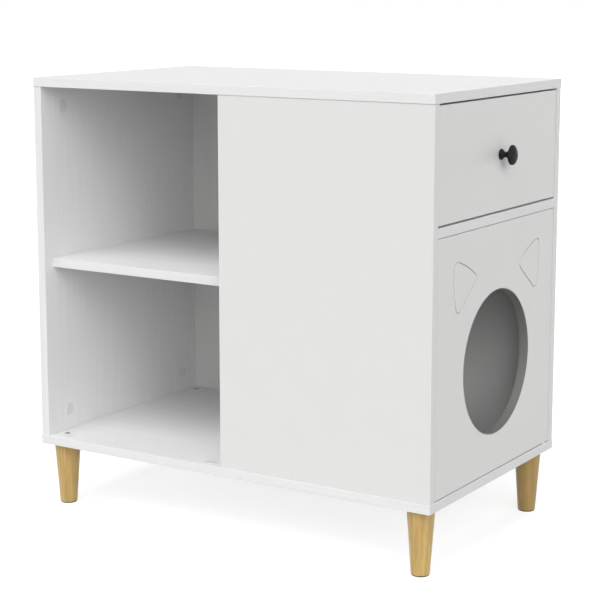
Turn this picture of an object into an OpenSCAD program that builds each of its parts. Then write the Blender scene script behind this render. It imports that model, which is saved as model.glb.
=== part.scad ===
// Cat house side cabinet on four turned legs. An open shelf bay is on the left, and on
// the right a drawer stands above a closed cat room with a round way in.
// The open side faces -Y, the drawer and the cat door face +X, and +Z is up.
// The origin is on the floor in the middle of the whole, knob included.

/* [Case] */
// Length of the top and bottom boards
case_l = 800; // [760:5:960]
// Depth of the top and bottom boards, near to far
case_d = 470; // [440:5:560]
// Height from the underside of the bottom board to the top
case_h = 665; // [640:5:760]
// Thickness of the boards
board = 16; // [15:0.5:18]
// How far the top and bottom boards stand past the ends of the panels
end_lip = 0.5; // [0.5:0.5:4]
// How far the top and bottom boards stand past the long sides of the panels
side_lip = 1; // [0.5:0.5:3]
// Clear width of the open shelf bay
bay_w = 380; // [340:5:400]
// How far the near edge of the shelf sits behind the near edges of the panels
shelf_setback = 22; // [5:1:40]
// Thickness of the back of the shelf bay
back_t = 3; // [2.5:0.5:5]
// How far the back of the shelf bay sits in from the far edges of the panels
back_inset = 10; // [8:1:16]
// Depth of the grooves that hold thin panels
groove_depth = 6; // [4:0.5:7]

/* [Legs] */
// Height of a wooden leg
leg_h = 111; // [80:1:180]
// Diameter of a leg at its top
leg_top_d = 47; // [38:1:54]
// Diameter of a leg at its foot
leg_foot_d = 31; // [26:1:36]
// Rounding of the edge of the foot
leg_foot_round = 0.5; // [0.5:0.5:5]
// Distance from the long edges of the boards to the middle of a leg
leg_in_y = 33; // [32:1:50]
// Distance from the ends of the boards to the middle of a leg
leg_in_x = 33; // [32:1:36]
// Thickness of the pad under a leg
foot_pad_h = 2; // [1:0.5:4]
// How far the pad's edge sits inside the foot's edge
foot_pad_in = 0.5; // [0.5:0.5:4]
// Diameter of the bolt that holds a leg
leg_bolt_d = 8; // [6:1:8]
// Length of the bolt inside the leg
leg_bolt_in = 30; // [20:1:50]
// Depth of the bolt's end below the top of the bottom board
leg_bolt_sunk = 5; // [0.5:0.5:7]
// Outer diameter of the threaded insert for the leg's bolt
leg_insert_d = 11; // [10:0.5:14]

/* [Cat door] */
// Diameter of the round way in
hole_d = 245; // [220:5:265]
// Height of the middle of the way in above the bottom board
hole_up = 189; // [170:1:200]
// Thickness of the dark band glued round the way in
band_t = 1; // [0.5:0.5:2]
// Gap above the cat door
door_gap_top = 1; // [1:0.5:3]
// Gap below the cat door
door_gap_bottom = 2; // [1:0.5:5]
// Gap at each side of the cat door, or more where its hinge edge needs it to turn
door_gap_side = 1.5; // [1.5:0.5:4]
// Width of the engraved line of an ear
ear_line_w = 2.6; // [1.5:0.1:4]
// Depth of the engraved line of an ear
ear_line_depth = 3; // [0.8:0.1:4]
// Diameter of the pins that the door turns on
pivot_d = 6; // [4:0.5:6]
// Distance from the hinge edge of the door to the middle of a pin
pivot_in = 16; // [14:0.5:20]
// Distance from the front of the door to the middle of a pin
pivot_back = 6; // [6:0.5:9]
// Length of a pin inside the door
pivot_pin_in = 25; // [15:1:40]
// Outer diameter of a pin's bush
bush_d = 9; // [8.5:0.5:10]
// Depth of a bush in its board
bush_depth = 12; // [8:0.5:13]
// Diameter of the flange of a bush
bush_flange_d = 12; // [11:0.5:13]

/* [Catch] */
// Length of the body of the magnetic catch
catch_l = 30; // [24:1:40]
// Width of the body of the catch, away from its panel
catch_w = 14; // [12:0.5:18]
// Depth of the body of the catch, behind the door
catch_deep = 15; // [12:0.5:20]
// Length of each screw ear of the catch
catch_ear_l = 9; // [8:0.5:12]
// Thickness of a screw ear of the catch
catch_ear_t = 3; // [2:0.5:4]
// Size of the magnet's face, along the catch
magnet_l = 18; // [12:1:22]
// Thickness of the magnet
magnet_t = 6; // [4:0.5:8]
// Thickness of the steel striker plate
striker_t = 1.5; // [1:0.1:2.5]

/* [Drawer] */
// Height of the space behind the drawer front
drawer_space_h = 193; // [170:1:210]
// Gap above the drawer front
drawer_gap_top = 3; // [2:0.5:4]
// Gap below the drawer front
drawer_gap_bottom = 3.5; // [2:0.5:5]
// Gap at each side of the drawer front
drawer_gap_side = 1.5; // [1.5:0.5:4]
// How far the drawer front and the cat door sit behind the ends of the panels
front_recess = 0.5; // [0.5:0.5:3]
// Height of the drawer's box
drawer_box_h = 130; // [110:1:135]
// Height of the drawer's box above the divider board
drawer_box_up = 17; // [10:1:24]
// Space between the back of the drawer and the partition
drawer_rear_gap = 17; // [10:1:60]
// Thickness of the boards of the drawer's box
drawer_board = 12; // [11:0.5:14]
// Thickness of the drawer's bottom
drawer_bottom_t = 3; // [2.5:0.5:5]
// Height of the drawer's bottom above the lower edges of its sides
drawer_bottom_up = 10; // [6:1:12]

/* [Slides] */
// Width of a slide, from the panel to the drawer's side
slide_w = 12.7; // [12.5:0.1:14]
// Height of a slide
slide_h = 45; // [42:1:46]
// Thickness of the steel of a slide
slide_sheet = 1.2; // [1:0.1:1.4]
// Gap between the members of a slide
slide_run = 0.3; // [0.25:0.05:0.5]
// Distance from the front to the cabinet's members of a slide
slide_set = 2; // [1:0.5:5]

/* [Knob] */
// How far the knob stands out from the drawer front
knob_reach = 27; // [22:0.5:32]
// Diameter of the knob's head
knob_head_d = 33; // [28:0.5:38]
// Diameter of the knob's base
knob_base_d = 18; // [15:0.5:22]
// Diameter of the knob's neck
knob_neck_d = 8.5; // [7:0.5:11]
// Diameter of the knob's screw
knob_screw_d = 4; // [3:0.5:4]
// Length of the knob's screw inside the knob
knob_screw_in = 10; // [6:0.5:14]

/* [Fixings] */
// Diameter of a cam
cam_d = 15; // [14:0.5:16]
// Distance from the joint to the middle of a cam
cam_reach = 37; // [30:0.5:42]
// Distance from the ends of a joint to its first cam
cam_step = 58; // [50:1:66]
// Distance from a cam to the dowel beside it
dowel_step = 32; // [24:1:40]
// Diameter of a cam's bolt
cam_bolt_d = 6; // [5:0.5:6.5]
// Diameter of the head of a cam's bolt
cam_head_d = 7; // [7:0.1:7.4]
// Depth of the bolt's thread in the other board
cam_thread = 11; // [9:0.5:12]
// Diameter of a wooden dowel
dowel_d = 8; // [6:0.5:8]
// Length of a wooden dowel inside the edge of a board
dowel_in_edge = 19; // [15:0.5:24]
// Length of a wooden dowel inside the face of a board
dowel_in_face = 11; // [8:0.5:12]
// Diameter of a cover cap
cap_d = 22; // [19:0.5:24]
// Thickness of a cover cap
cap_t = 1.2; // [0.8:0.1:2]
// Distance from the near edge of the bottom board to its round plugs
plug_in_y = 17; // [13:0.5:20]
// Distance from the panels beside the bay to the round plugs
plug_in_x = 32; // [28:0.5:40]
// Diameter of a plug's stem
plug_stem_d = 8; // [6:0.5:10]
// Length of a plug's stem
plug_stem_l = 9; // [6:0.5:12]
// Diameter of the wood screws
screw_d = 3.5; // [3:0.5:4]
// Diameter of the head of a wood screw
screw_head_d = 7; // [6:0.5:8]
// Length of the wood screws of the slides, the catch and the striker
short_screw_l = 10; // [8:0.5:10.5]
// Length of the wood screws of the drawer's box
box_screw_l = 35; // [28:1:45]
// Length of the wood screws that hold the drawer front
front_screw_l = 23; // [18:0.5:26]

/* [Hidden] */
$fn = 64;
// Overrun of the cuts
over = 1;
// Radial clearance of a piece in its bore
fit = 0.05;
// Clearance at the end of a blind bore
bore_end = 0.5;
// Clearance between pieces that turn or slide and what they pass
run_gap = 0.3;

// Colours
WHITE_BOARD = "#f2f2f0";
WHITE_FRONT = "#e9e9e7";
PINE = "#cfa36c";
BEECH = "#d8b98c";
FELT = "#3a3a3c";
STEEL = "#b9bdc2";
ZINC = "#9ea3a8";
BLACK_KNOB = "#2c2c2e";
WHITE_PLASTIC = "#ececea";
THIN_PANEL = "#e4e4e1";
DARK_BAND = "#5c5c5a";

// Outer faces of the case
knob_past = knob_reach - end_lip - front_recess;
left_x = -(case_l + knob_past) / 2;
right_x = left_x + case_l;
near_y = -case_d / 2;
far_y = case_d / 2;
case_z = foot_pad_h + leg_h;
top_z = case_z + case_h;

// Faces of the panels inside the case
floor_z = case_z + board;
ceiling_z = top_z - board;
panel_left_x = left_x + end_lip;
panel_right_x = right_x - end_lip;
panel_near_y = near_y + side_lip;
panel_far_y = far_y - side_lip;
bay_x = panel_left_x + board;
partition_x = bay_x + bay_w;
room_x = partition_x + board;
inner_near_y = panel_near_y + board;
inner_far_y = panel_far_y - board;
divider_top_z = ceiling_z - drawer_space_h;
divider_z = divider_top_z - board;
shelf_z = (floor_z + ceiling_z - board) / 2;
shelf_near_y = panel_near_y + shelf_setback;
back_far_y = panel_far_y - back_inset;
back_near_y = back_far_y - back_t;
front_x = panel_right_x - front_recess;
front_inner_x = front_x - board;

// Cat door
hinge_gap = max(door_gap_side, norm([pivot_back, pivot_in]) - pivot_in + run_gap);
door_low = [front_inner_x, inner_near_y + door_gap_side, floor_z + door_gap_bottom];
door_high = [front_x, inner_far_y - hinge_gap, divider_z - door_gap_top];
hole_z = floor_z + hole_up;
pivot_x = front_x - pivot_back;
pivot_y = door_high.y - pivot_in;
bush_wall_d = pivot_d + 2 * fit;
catch_z = floor_z + hole_up;
striker_w = catch_w - run_gap - door_gap_side;

// Corners of the near ear's outline, right and up from the middle of the way in, before rounding
ear_corner_shares = [[0.653, 0.788], [0.473, 0.726], [0.304, 0.633], [0.608, 0.404], [0.653, 0.563]];
ear_round_share = 0.073;
corner_steps = 5;

// Drawer
drawer_low_z = divider_top_z + drawer_gap_bottom;
drawer_high_z = ceiling_z - drawer_gap_top;
drawer_box_z = divider_top_z + drawer_box_up;
drawer_box_x = room_x + drawer_rear_gap;
drawer_side_y = inner_far_y - slide_w;
drawer_inner_y = drawer_side_y - drawer_board;
drawer_inner_front_x = front_inner_x - drawer_board;
drawer_bottom_z = drawer_box_z + drawer_bottom_up;
drawer_groove = min(groove_depth, drawer_board / 2);
knob_z = (drawer_low_z + drawer_high_z) / 2;
box_screw_shares = [0.22, 0.85];
front_screw_in = box_screw_l;

// Slides
slide_z = drawer_box_z + drawer_box_h / 2;
slide_l = front_inner_x - slide_set - drawer_box_x;
slide_outer_share = 0.79;
slide_middle_share = 0.35;
slide_inner_share = 0.45;
slide_outer_w = slide_w * slide_outer_share;
slide_middle_in = slide_w * slide_middle_share;
slide_middle_w = slide_w - slide_sheet - 2 * slide_run - slide_middle_in;
slide_inner_w = slide_w * slide_inner_share;
slide_step = slide_sheet + slide_run;
slide_screw_shares = [0.12, 0.5, 0.88];
pan_head_h = slide_sheet;

// Cams
cam_below = board / 4;
cam_sunk = 0.3;
cam_mouth = cam_head_d + 2 * run_gap;
cam_bore_d = cam_head_d + 1;
cam_head_l = 3;
cam_slot_w = 1.8;
cam_slot_share = 0.6;
cam_slot_depth = 1.4;

// Magnet
magnet_depth_share = 0.7;

// Knob, as heights from the drawer front
knob_base_share = 0.07;
knob_waist_share = 0.33;
knob_rim_low_share = 0.73;
knob_rim_share = 0.79;
knob_cone_share = 0.5;
knob_base_h = knob_reach * knob_base_share;
knob_waist_h = knob_reach * knob_waist_share;
knob_rim_low_h = knob_reach * knob_rim_low_share;
knob_rim_h = knob_reach * knob_rim_share;
knob_steps = 7;

// A block between two corners
module block(low, high) {
    translate(low)
        cube(high - low);
}

// The two places that lie a step in from the ends of a joint
function run(from, to, step) = [from + step, to - step];

// Each joint is a place in the middle of the board's thickness where two boards meet,
// and a turn that points Z into the board that holds the cam and X to the face it sits in.
function left_joints(step) = [
    for (y = run(panel_near_y, panel_far_y, step), up = [0, 1])
        [[panel_left_x + board / 2, y, up == 1 ? ceiling_z : floor_z], [up * 180, 0, 0]]
];
function partition_joints(step) = [
    for (y = run(inner_near_y, panel_far_y, step), up = [0, 1])
        [[partition_x + board / 2, y, up == 1 ? ceiling_z : floor_z], [up * 180, 0, 0]]
];
function side_joints(side, step) = [
    for (x = run(room_x, panel_right_x, step), up = [0, 1])
        [[x, side * (inner_far_y + board / 2), up == 1 ? ceiling_z : floor_z], [up * 180, 0, -side * 90]]
];
function divider_joints(side, step) = [
    for (x = run(room_x, panel_right_x, step))
        [[x, side * inner_far_y, divider_z + board / 2], [0, 90, -side * 90]]
];
function shelf_joints(side, step) = [
    for (y = run(shelf_near_y, back_near_y, step))
        [[side < 0 ? bay_x : partition_x, y, shelf_z + board / 2], [0, 90, side < 0 ? 0 : 180]]
];
function upright_joints(step) = concat(
    left_joints(step), partition_joints(step), side_joints(-1, step), side_joints(1, step)
);
function case_joints(step) = concat(
    upright_joints(step),
    divider_joints(-1, step), divider_joints(1, step),
    shelf_joints(-1, step), shelf_joints(1, step)
);
// The joints at one height
function at_height(joints, z) = [for (j = joints) if (j[0].z == z) j];
// The dowels stand a step further in than the cams
dowel_run = cam_step + dowel_step;

// Draws its children at each joint
module at_joints(joints) {
    for (joint = joints)
        translate(joint[0])
            rotate(joint[1])
                children();
}

// One cam, face towards +X, with its bolt coming up along Z
module cam() {
    cam_face = board / 2 - cam_sunk;
    difference() {
        translate([-cam_below, 0, cam_reach])
            rotate([0, 90, 0])
                cylinder(d = cam_d - 2 * fit, h = cam_below + cam_face);
        translate([-cam_below - over, -cam_mouth / 2, cam_reach - cam_d])
            cube([cam_below + over + cam_mouth / 2, cam_mouth, cam_d + cam_mouth / 2]);
        for (turn = [0, 90])
            translate([cam_face, 0, cam_reach])
                rotate([turn, 0, 0])
                    cube([2 * cam_slot_depth, cam_d * cam_slot_share, cam_slot_w], center = true);
    }
}

// One cam bolt, screwed in below the joint and with its head at the cam
module cam_bolt() {
    translate([0, 0, -cam_thread])
        cylinder(d = cam_bolt_d, h = cam_thread + cam_reach);
    translate([0, 0, cam_reach - cam_head_l / 2])
        cylinder(d = cam_head_d, h = cam_head_l);
}

// One dowel across the joint
module dowel() {
    translate([0, 0, -dowel_in_face])
        cylinder(d = dowel_d, h = dowel_in_face + dowel_in_edge);
}

// What a board loses for its cams and for the dowels in its edge
module cam_side_cuts(cams, dowel_places) {
    at_joints(cams) {
        translate([0, 0, -over])
            cylinder(d = cam_bore_d, h = cam_reach + over);
        translate([-cam_below, 0, cam_reach])
            rotate([0, 90, 0])
                cylinder(d = cam_d, h = cam_below + board / 2 + over);
    }
    at_joints(dowel_places)
        translate([0, 0, -over])
            cylinder(d = dowel_d + 2 * fit, h = dowel_in_edge + bore_end + over);
}

// What a board loses for the bolts and dowels in its face
module bolt_side_cuts(cams, dowel_places) {
    at_joints(cams)
        translate([0, 0, -cam_thread - bore_end])
            cylinder(d = cam_bolt_d + 2 * fit, h = cam_thread + bore_end + over);
    at_joints(dowel_places)
        translate([0, 0, -dowel_in_face - bore_end])
            cylinder(d = dowel_d + 2 * fit, h = dowel_in_face + bore_end + over);
}

// A wood screw from its head's outer face at zero, down along -Z, with a cone head
module cone_screw(l) {
    head_h = (screw_head_d - screw_d) / 2;
    translate([0, 0, -head_h])
        cylinder(d1 = screw_d, d2 = screw_head_d, h = head_h);
    translate([0, 0, -l])
        cylinder(d = screw_d, h = l - head_h);
}

// What a cone screw takes out of the boards it holds
module cone_screw_cut(l) {
    head_h = (screw_head_d - screw_d) / 2;
    translate([0, 0, -head_h])
        cylinder(d1 = screw_d + 2 * fit, d2 = screw_head_d + 2 * fit, h = head_h);
    translate([0, 0, -l - bore_end])
        cylinder(d = screw_d + 2 * fit, h = l + bore_end);
}

// A wood screw with a flat head that stands on the surface at zero
module pan_screw(l) {
    cylinder(d = screw_head_d, h = pan_head_h);
    translate([0, 0, -l])
        cylinder(d = screw_d, h = l);
}

// The bore of a pan screw, from just above the surface
module pan_screw_cut(l) {
    translate([0, 0, -l - bore_end])
        cylinder(d = screw_d + 2 * fit, h = l + bore_end + over);
}

// Places of the legs
leg_places = [
    [left_x + leg_in_x, near_y + leg_in_y, 0],
    [right_x - leg_in_x, near_y + leg_in_y, 0],
    [left_x + leg_in_x, far_y - leg_in_y, 0],
    [right_x - leg_in_x, far_y - leg_in_y, 0]
];

// Places of the round plugs in the bottom board
plug_places = [
    [bay_x + plug_in_x, near_y + plug_in_y, floor_z],
    [partition_x - plug_in_x, near_y + plug_in_y, floor_z]
];

module top_board() {
    color(WHITE_BOARD)
        difference() {
            block([left_x, near_y, ceiling_z], [right_x, far_y, top_z]);
            bolt_side_cuts(
                at_height(upright_joints(cam_step), ceiling_z),
                at_height(upright_joints(dowel_run), ceiling_z)
            );
            back_groove();
        }
}

module bottom_board() {
    color(WHITE_BOARD)
        difference() {
            block([left_x, near_y, case_z], [right_x, far_y, floor_z]);
            bolt_side_cuts(
                at_height(upright_joints(cam_step), floor_z),
                at_height(upright_joints(dowel_run), floor_z)
            );
            back_groove();
            for (place = leg_places)
                translate([place.x, place.y, case_z - over])
                    cylinder(d = leg_insert_d + 2 * fit, h = board + 2 * over);
            for (place = plug_places)
                translate(place - [0, 0, plug_stem_l + bore_end])
                    cylinder(d = plug_stem_d + 2 * fit, h = plug_stem_l + bore_end + over);
            bush_bore(floor_z, -1);
        }
}

module left_end_panel() {
    color(WHITE_BOARD)
        difference() {
            block([panel_left_x, panel_near_y, floor_z], [bay_x, panel_far_y, ceiling_z]);
            cam_side_cuts(left_joints(cam_step), left_joints(dowel_run));
            bolt_side_cuts(shelf_joints(-1, cam_step), shelf_joints(-1, dowel_run));
            back_groove();
        }
}

module partition_panel() {
    color(WHITE_BOARD)
        difference() {
            block([partition_x, inner_near_y, floor_z], [room_x, panel_far_y, ceiling_z]);
            cam_side_cuts(partition_joints(cam_step), partition_joints(dowel_run));
            bolt_side_cuts(shelf_joints(1, cam_step), shelf_joints(1, dowel_run));
            back_groove();
        }
}

module near_side_panel() {
    color(WHITE_FRONT)
        difference() {
            block([partition_x, panel_near_y, floor_z], [panel_right_x, inner_near_y, ceiling_z]);
            cam_side_cuts(side_joints(-1, cam_step), side_joints(-1, dowel_run));
            bolt_side_cuts(divider_joints(-1, cam_step), divider_joints(-1, dowel_run));
            slide_screw_cuts(-1, true);
            at_catch_screws()
                pan_screw_cut(short_screw_l);
        }
}

module far_side_panel() {
    color(WHITE_FRONT)
        difference() {
            block([room_x, inner_far_y, floor_z], [panel_right_x, panel_far_y, ceiling_z]);
            cam_side_cuts(side_joints(1, cam_step), side_joints(1, dowel_run));
            bolt_side_cuts(divider_joints(1, cam_step), divider_joints(1, dowel_run));
            slide_screw_cuts(1, true);
        }
}

// The thin back of the shelf bay, or the room that its grooves take
module back_sheet(room) {
    block(
        [bay_x, back_near_y, floor_z] - [1, 0, 1] * (groove_depth - room),
        [partition_x, back_far_y, ceiling_z] + [1, 0, 1] * (groove_depth - room)
    );
}

module back_groove() {
    back_sheet(0);
}

module shelf_back_panel() {
    color(THIN_PANEL)
        back_sheet(bore_end);
}

module shelf() {
    color(WHITE_BOARD)
        difference() {
            block([bay_x, shelf_near_y, shelf_z], [partition_x, back_near_y, shelf_z + board]);
            for (side = [-1, 1])
                cam_side_cuts(shelf_joints(side, cam_step), shelf_joints(side, dowel_run));
        }
}

module divider_board() {
    color(WHITE_BOARD)
        difference() {
            block([room_x, inner_near_y, divider_z], [panel_right_x, inner_far_y, divider_top_z]);
            for (side = [-1, 1])
                cam_side_cuts(divider_joints(side, cam_step), divider_joints(side, dowel_run));
            bush_bore(divider_z, 1);
        }
}

// One leg: a straight taper with a rounded edge at its foot
module leg(place) {
    foot_r = leg_foot_d / 2;
    outline = [
        [0, 0],
        [foot_r - leg_foot_round, 0],
        for (turn = [-75 : 15 : 0])
            [foot_r - leg_foot_round, leg_foot_round] + leg_foot_round * [cos(turn), sin(turn)],
        [leg_top_d / 2, leg_h],
        [0, leg_h]
    ];
    color(PINE)
        translate([place.x, place.y, foot_pad_h])
            difference() {
                rotate_extrude()
                    polygon(outline);
                translate([0, 0, leg_h - leg_bolt_in - bore_end])
                    cylinder(d = leg_bolt_d + 2 * fit, h = leg_bolt_in + bore_end + over);
            }
}

module leg_near_left() {
    leg(leg_places[0]);
}

module leg_near_right() {
    leg(leg_places[1]);
}

module leg_far_left() {
    leg(leg_places[2]);
}

module leg_far_right() {
    leg(leg_places[3]);
}

module foot_pads() {
    color(FELT)
        for (place = leg_places)
            translate(place)
                cylinder(d = leg_foot_d - 2 * foot_pad_in - leg_foot_round, h = foot_pad_h);
}

module leg_bolts() {
    color(ZINC)
        for (place = leg_places)
            translate([place.x, place.y, case_z - leg_bolt_in])
                cylinder(d = leg_bolt_d, h = leg_bolt_in + board - leg_bolt_sunk);
}

module leg_inserts() {
    color(ZINC)
        for (place = leg_places)
            translate([place.x, place.y, case_z])
                difference() {
                    cylinder(d = leg_insert_d, h = board);
                    translate([0, 0, -over])
                        cylinder(d = leg_bolt_d + 2 * fit, h = board + 2 * over);
                }
}

module cam_locks() {
    color(ZINC)
        at_joints(case_joints(cam_step))
            cam();
}

module cam_bolts() {
    color(STEEL)
        at_joints(case_joints(cam_step))
            cam_bolt();
}

module dowels() {
    color(BEECH)
        at_joints(case_joints(dowel_run))
            dowel();
}

// Cover caps on the cams of the two panels that can be seen from the bay and the cat room
module cam_covers() {
    color(WHITE_PLASTIC)
        at_joints(concat(left_joints(cam_step), partition_joints(cam_step)))
            translate([board / 2, 0, cam_reach])
                rotate([0, 90, 0])
                    cap();
}

// One round cap with a chamfered rim
module cap() {
    cylinder(d = cap_d, h = cap_t / 2);
    translate([0, 0, cap_t / 2])
        cylinder(d1 = cap_d, d2 = cap_d - cap_t, h = cap_t / 2);
}

module board_plugs() {
    color(WHITE_PLASTIC)
        for (place = plug_places)
            translate(place) {
                cap();
                translate([0, 0, -plug_stem_l])
                    cylinder(d = plug_stem_d, h = plug_stem_l);
            }
}

// Direction from one point to another
function toward(from, to) = (to - from) / norm(to - from);

// A corner rounded from r before it to r after it
function round_corner(before, corner, after, r) =
    let (start = corner + r * toward(corner, before), end = corner + r * toward(corner, after))
    [for (i = [0 : corner_steps])
        let (t = i / corner_steps)
        (1 - t) * (1 - t) * start + 2 * t * (1 - t) * corner + t * t * end];

// An outline with all its corners rounded
function round_outline(corners, r) =
    let (n = len(corners))
    [for (i = [0 : n - 1])
        each round_corner(corners[(i + n - 1) % n], corners[i], corners[(i + 1) % n], r)];

// An outline moved out by a distance
function widen(outline, distance) =
    let (n = len(outline))
    [for (i = [0 : n - 1])
        let (along = toward(outline[(i + n - 1) % n], outline[(i + 1) % n]))
        outline[i] + distance * [along.y, -along.x]];

// The line of one ear, as a flat ring
module ear_line() {
    middle = round_outline(hole_d * ear_corner_shares, hole_d * ear_round_share);
    n = len(middle);
    polygon(
        concat(widen(middle, ear_line_w / 2), widen(middle, -ear_line_w / 2)),
        paths = [[for (i = [0 : n - 1]) i], [for (i = [0 : n - 1]) n + i]]
    );
}

// Turns a flat drawing so that it faces +X, with its own X along +Y
module facing_right() {
    rotate([90, 0, 90])
        children();
}

// A round bar through the way in, longer than the door is thick by more at both ends
module through_way_in(d, more) {
    translate([front_inner_x - more, 0, hole_z])
        rotate([0, 90, 0])
            cylinder(d = d, h = board + 2 * more, $fn = 96);
}

module cat_door() {
    color(WHITE_FRONT)
        difference() {
            block(door_low, door_high);
            through_way_in(hole_d + 2 * (band_t + fit), over);
            for (flip = [0, 1])
                translate([front_x - ear_line_depth, 0, hole_z])
                    mirror([0, flip, 0])
                        facing_right()
                            linear_extrude(ear_line_depth + over)
                                ear_line();
            translate([pivot_x, pivot_y, door_low.z - over])
                cylinder(d = pivot_d + 2 * fit, h = pivot_pin_in + bore_end + over);
            translate([pivot_x, pivot_y, door_high.z - pivot_pin_in - bore_end])
                cylinder(d = pivot_d + 2 * fit, h = pivot_pin_in + bore_end + over);
            at_striker_screw()
                cone_screw_cut(short_screw_l);
        }
}

module way_in_band() {
    color(DARK_BAND)
        difference() {
            through_way_in(hole_d + 2 * band_t, 0);
            through_way_in(hole_d, over);
        }
}

module door_pin_bottom() {
    color(STEEL)
        translate([pivot_x, pivot_y, floor_z - bush_depth + bore_end])
            cylinder(d = pivot_d, h = bush_depth - bore_end + door_gap_bottom + pivot_pin_in);
}

module door_pin_top() {
    color(STEEL)
        translate([pivot_x, pivot_y, door_high.z - pivot_pin_in])
            cylinder(d = pivot_d, h = pivot_pin_in + door_gap_top + bush_depth - bore_end);
}

// The bore for a bush in the board whose face is at this height, up for 1 and down for -1
module bush_bore(face_z, way) {
    translate([pivot_x, pivot_y, face_z - (way > 0 ? over : bush_depth)])
        cylinder(d = bush_d + 2 * fit, h = bush_depth + over);
}

// A bush with its flange against the board's face and its cup in the board
module bush(face_z, way, flange_h) {
    color(WHITE_PLASTIC)
        difference() {
            union() {
                translate([pivot_x, pivot_y, face_z - (way > 0 ? 0 : bush_depth)])
                    cylinder(d = bush_d, h = bush_depth);
                translate([pivot_x, pivot_y, face_z - (way > 0 ? flange_h : 0)])
                    cylinder(d = bush_flange_d, h = flange_h);
            }
            translate([pivot_x, pivot_y, face_z - bush_depth - over])
                cylinder(d = bush_wall_d, h = 2 * (bush_depth + over));
        }
}

module door_bush_top() {
    bush(divider_z, 1, door_gap_top - run_gap);
}

module door_bush_bottom() {
    bush(floor_z, -1, door_gap_bottom - run_gap);
}

// Places of the catch's two screws, with -Z into the near panel
module at_catch_screws() {
    for (way = [-1, 1])
        translate([
            front_inner_x - striker_t - run_gap - catch_deep / 2,
            inner_near_y,
            catch_z + way * (catch_l + catch_ear_l) / 2
        ])
            rotate([-90, 0, 0])
                children();
}

module catch_body() {
    face_x = front_inner_x - striker_t - run_gap;
    color(WHITE_PLASTIC)
        difference() {
            union() {
                block(
                    [face_x - catch_deep, inner_near_y, catch_z - catch_l / 2],
                    [face_x, inner_near_y + catch_w, catch_z + catch_l / 2]
                );
                block(
                    [face_x - catch_deep, inner_near_y, catch_z - catch_l / 2 - catch_ear_l],
                    [face_x, inner_near_y + catch_ear_t, catch_z + catch_l / 2 + catch_ear_l]
                );
            }
            magnet_block(0);
            at_catch_screws()
                translate([0, 0, catch_ear_t])
                    pan_screw_cut(catch_ear_t + over);
        }
}

// The magnet, or its pocket where the overrun is let through
module magnet_block(trim) {
    face_x = front_inner_x - striker_t - run_gap;
    middle_y = inner_near_y + catch_w / 2;
    half_t = magnet_t / 2 - trim;
    half_l = magnet_l / 2 - trim;
    block(
        [face_x - catch_deep * magnet_depth_share, middle_y - half_t, catch_z - half_l],
        [face_x + (trim > 0 ? 0 : over), middle_y + half_t, catch_z + half_l]
    );
}

module catch_magnet() {
    color(FELT)
        magnet_block(fit);
}

module catch_screws() {
    color(STEEL)
        at_catch_screws()
            translate([0, 0, catch_ear_t])
                pan_screw(short_screw_l + catch_ear_t - bore_end);
}

// The striker's screw, with -Z into the back of the door
module at_striker_screw() {
    translate([front_inner_x - striker_t, door_low.y + striker_w / 2, catch_z])
        rotate([0, -90, 0])
            children();
}

module catch_striker() {
    color(STEEL)
        difference() {
            block(
                [front_inner_x - striker_t, door_low.y, catch_z - magnet_l / 2],
                [front_inner_x, door_low.y + striker_w, catch_z + magnet_l / 2]
            );
            at_striker_screw()
                cone_screw_cut(short_screw_l);
        }
}

module striker_screw() {
    color(ZINC)
        at_striker_screw()
            cone_screw(short_screw_l);
}

module drawer_front() {
    color(WHITE_FRONT)
        difference() {
            block(
                [front_inner_x, inner_near_y + drawer_gap_side, drawer_low_z],
                [front_x, inner_far_y - drawer_gap_side, drawer_high_z]
            );
            at_front_screws()
                cone_screw_cut(front_screw_l);
            knob_screw_cut();
        }
}

module drawer_inner_front() {
    color(WHITE_BOARD)
        difference() {
            block(
                [drawer_inner_front_x, -drawer_inner_y, drawer_box_z],
                [front_inner_x, drawer_inner_y, drawer_box_z + drawer_box_h]
            );
            drawer_groove_cut();
            at_front_screws()
                cone_screw_cut(front_screw_l);
            at_box_screws()
                cone_screw_cut(box_screw_l);
            knob_screw_cut();
        }
}

// One side of the drawer's box, near for -1 and far for 1
module drawer_side(side) {
    faces_y = side * [drawer_side_y, drawer_inner_y];
    color(WHITE_BOARD)
        difference() {
            block(
                [drawer_box_x, min(faces_y), drawer_box_z],
                [front_inner_x, max(faces_y), drawer_box_z + drawer_box_h]
            );
            drawer_groove_cut();
            at_box_screws()
                cone_screw_cut(box_screw_l);
            slide_screw_cuts(side, false);
        }
}

module drawer_side_near() {
    drawer_side(-1);
}

module drawer_side_far() {
    drawer_side(1);
}

module drawer_back() {
    color(WHITE_BOARD)
        difference() {
            block(
                [drawer_box_x, -drawer_inner_y, drawer_box_z],
                [drawer_box_x + drawer_board, drawer_inner_y, drawer_box_z + drawer_box_h]
            );
            drawer_groove_cut();
            at_box_screws()
                cone_screw_cut(box_screw_l);
        }
}

// The drawer's thin bottom, or the room that its grooves take
module drawer_sheet(room) {
    reach = drawer_groove - room;
    block(
        [drawer_box_x + drawer_board - reach, -drawer_inner_y - reach, drawer_bottom_z],
        [drawer_inner_front_x + reach, drawer_inner_y + reach, drawer_bottom_z + drawer_bottom_t]
    );
}

module drawer_groove_cut() {
    drawer_sheet(0);
}

module drawer_bottom() {
    color(THIN_PANEL)
        drawer_sheet(bore_end);
}

// Screws through the drawer's sides into its back and inner front, -Z pointing in
module at_box_screws() {
    for (
        side = [-1, 1],
        x = [drawer_box_x + drawer_board / 2, front_inner_x - drawer_board / 2],
        share = box_screw_shares
    )
        translate([x, side * drawer_side_y, drawer_box_z + share * drawer_box_h])
            rotate([-side * 90, 0, 0])
                children();
}

module drawer_box_screws() {
    color(ZINC)
        at_box_screws()
            cone_screw(box_screw_l);
}

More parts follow.
